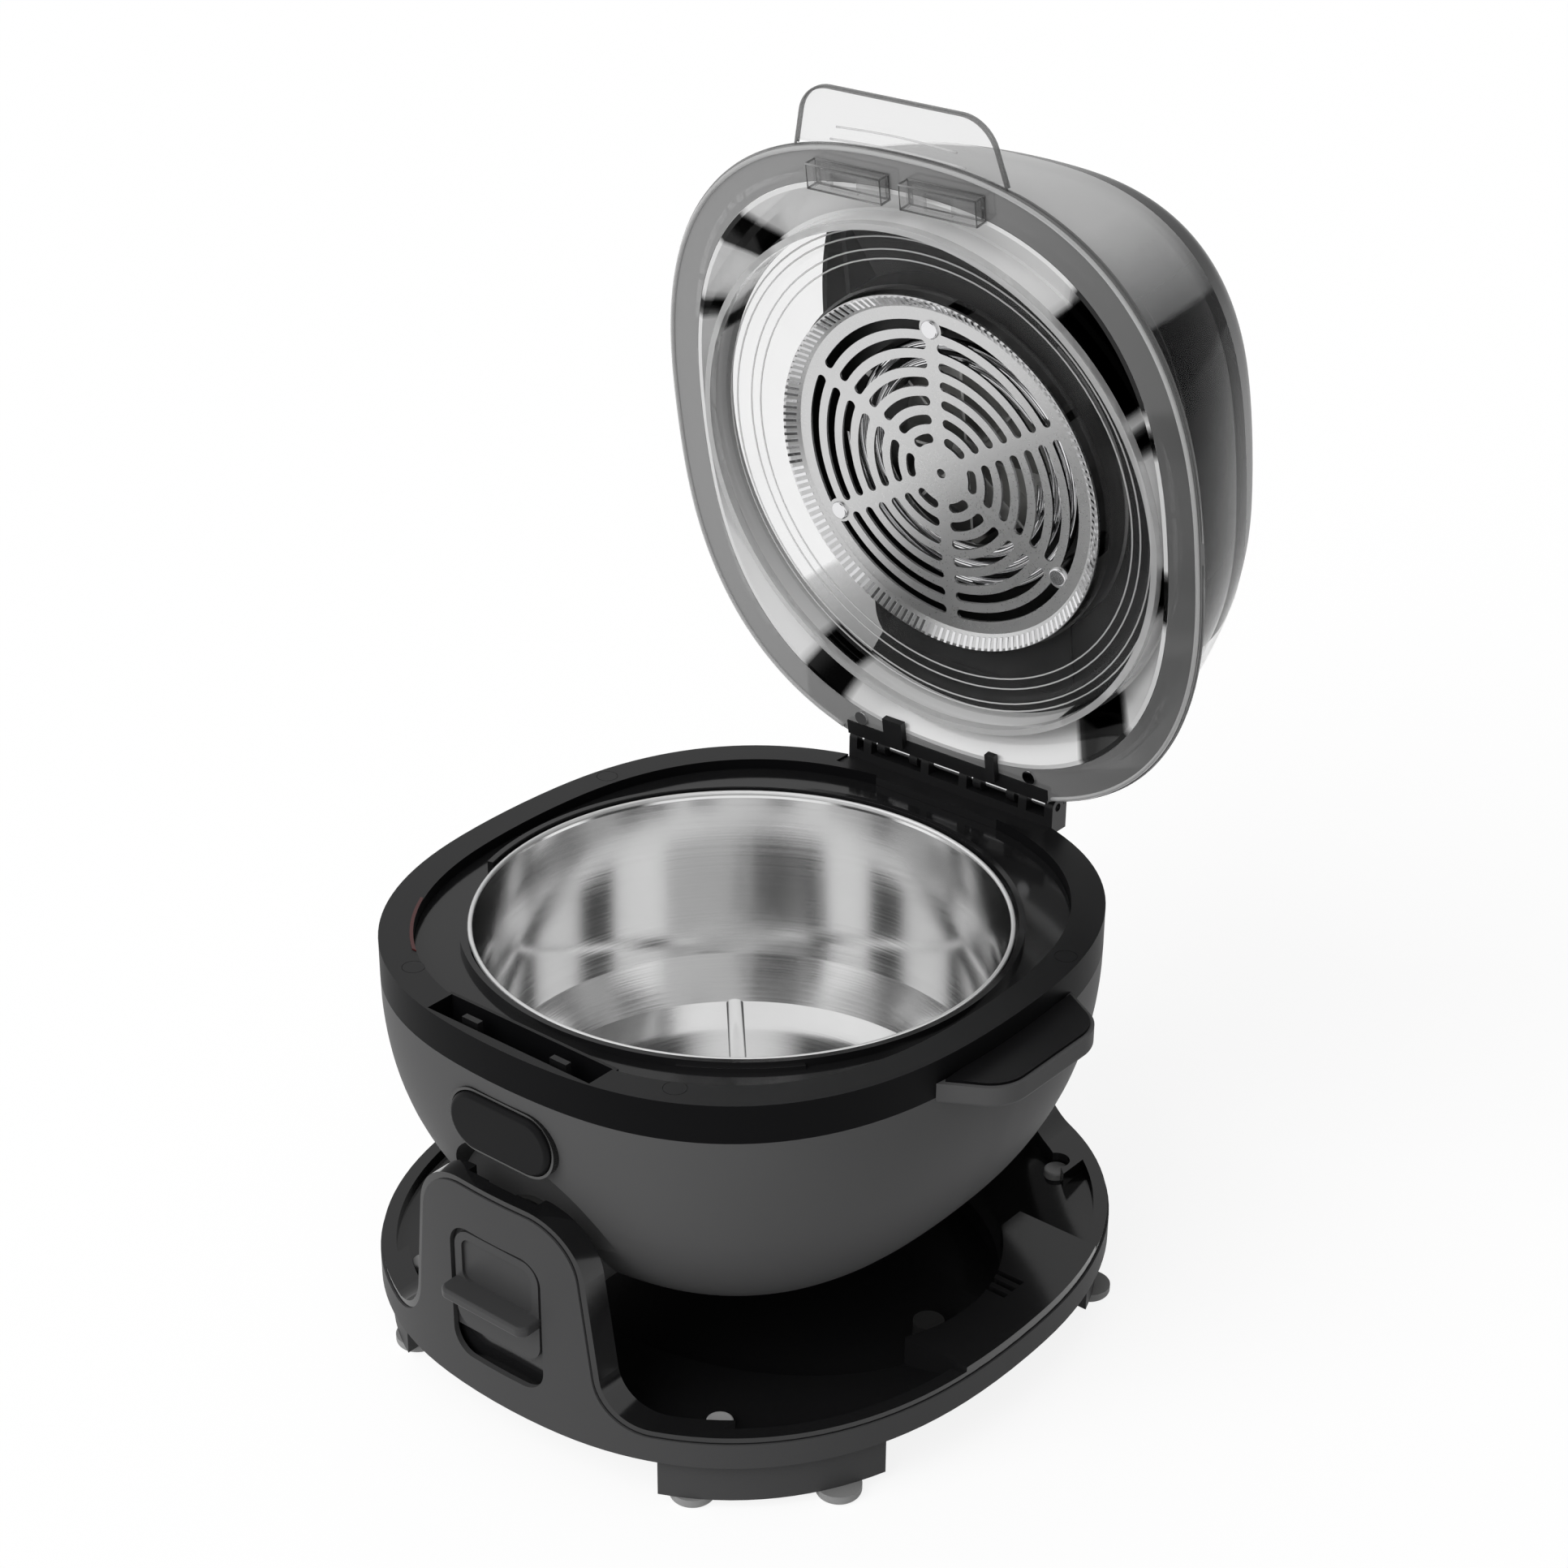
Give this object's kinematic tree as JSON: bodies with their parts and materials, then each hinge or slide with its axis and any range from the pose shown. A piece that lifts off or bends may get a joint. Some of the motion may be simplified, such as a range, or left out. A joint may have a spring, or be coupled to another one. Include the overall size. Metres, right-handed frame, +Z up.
{
  "type": "countertop air fryer grill",
  "caption": "Rocking air fryer grill with a lift-out steel pot, a rear-hinged clear lid holding a fan and ring heater, a push-button latch and a separate two-tower base",
  "frame": {"origin": "centre of the footprint on the surface that the feet stand on", "axes": "+Z up, -Y to the front where the release button and the lever are, +X to the right seen from the front"},
  "size_m": [0.3178, 0.4146, 0.5321],
  "materials": {
    "base_plastic": "fine matte grey plastic",
    "deck_plastic": "gloss black plastic",
    "collar_plastic": "satin dark grey plastic",
    "hinge_plastic": "matte black plastic",
    "rubber": "black rubber",
    "steel": "brushed stainless steel",
    "polished": "polished steel",
    "clear": "clear moulded plastic",
    "seal": "grey translucent silicone",
    "board": "green circuit board",
    "lens": "dark red lens",
    "cast": "cast aluminium"
  },
  "bodies": {
    "base": {"base_skirt": "base_plastic", "base_deck": "deck_plastic", "base_bottom_plate": "collar_plastic", "base_screws": "steel", "rubber_feet": "rubber", "deck_screw_caps": "base_plastic", "rock_bumpers": "rubber", "base_board": "board", "power_inlet": "hinge_plastic", "front_pivot_carrier": "deck_plastic", "rear_pivot_carrier": "deck_plastic", "rock_motor": "steel"},
    "lever": {"release_lever": "base_plastic"},
    "bolt": {"lever_bolt": "hinge_plastic"},
    "bowl": {"bowl_shell": "base_plastic", "collar": "collar_plastic", "inner_ring": "deck_plastic", "heat_shield": "steel", "bottom_heater": "cast", "side_tab": "base_plastic", "side_tab_pad": "deck_plastic", "collar_plugs": "base_plastic", "indicator_lens": "lens", "front_pivot": "steel", "rear_pivot": "steel", "rock_shaft": "steel", "button_bezel": "polished", "latch_clips": "steel", "hinge_bracket": "hinge_plastic", "hinge_pin": "polished"},
    "button": {"release_button": "deck_plastic"},
    "latch": {"latch_bar": "hinge_plastic"},
    "pot": {"pot": "steel"},
    "lid": {"lid_frame": "clear", "lid_dome": "clear", "lid_cap": "deck_plastic", "control_panel": "deck_plastic", "control_board": "board", "lid_liner": "polished", "lid_window": "clear", "lid_seal": "seal", "fan_guard": "steel", "guard_screws": "polished", "fan_chamber": "steel", "heater_coil": "steel", "coil_clips": "steel", "fan_motor": "steel", "motor_housing": "deck_plastic", "hinge_plate": "hinge_plastic", "hinge_screws": "polished"},
    "fan": {"fan": "steel", "fan_shaft": "steel"}
  },
  "joints": [
    {"name": "bowl_rock", "type": "hinge", "parent": "base", "child": "bowl", "pos_m": [-0.00647, -0.0387, 0.095], "axis": [0, 1, 0], "range_deg": [-20, 20]},
    {"name": "lid_hinge", "type": "hinge", "parent": "bowl", "child": "lid", "pos_m": [-0.00647, 0.1149, 0.2055], "axis": [1, 0, 0], "range_deg": [0, 80.7]},
    {"name": "lever_slide", "type": "slide", "parent": "base", "child": "lever", "axis": [0, 0, -1], "range_m": [0, 0.013], "stiffness_N_per_m": 200, "springref_m": -0.01},
    {"name": "lever_bolt_slide", "type": "slide", "parent": "base", "child": "bolt", "axis": [0, -1, 0], "range_m": [0, 0.003]},
    {"name": "button_press", "type": "slide", "parent": "bowl", "child": "button", "axis": [0, 1, 0], "range_m": [0, 0.003], "stiffness_N_per_m": 300, "springref_m": -0.005},
    {"name": "latch_slide", "type": "slide", "parent": "bowl", "child": "latch", "axis": [0, 1, 0], "range_m": [0, 0.003]},
    {"name": "pot_lift", "type": "slide", "parent": "bowl", "child": "pot", "axis": [0, 0, -1], "range_m": [-0.13, 0]},
    {"name": "fan_spin", "type": "hinge", "parent": "lid", "child": "fan", "pos_m": [-0.00647, 0.12215, 0.36233], "axis": [0, 0.9869, 0.1616], "continuous": true}
  ],
  "couplings": [
    {"joint": "lever_bolt_slide", "follows": "lever_slide", "ratio": 0.23077},
    {"joint": "latch_slide", "follows": "button_press", "ratio": 1}
  ]
}
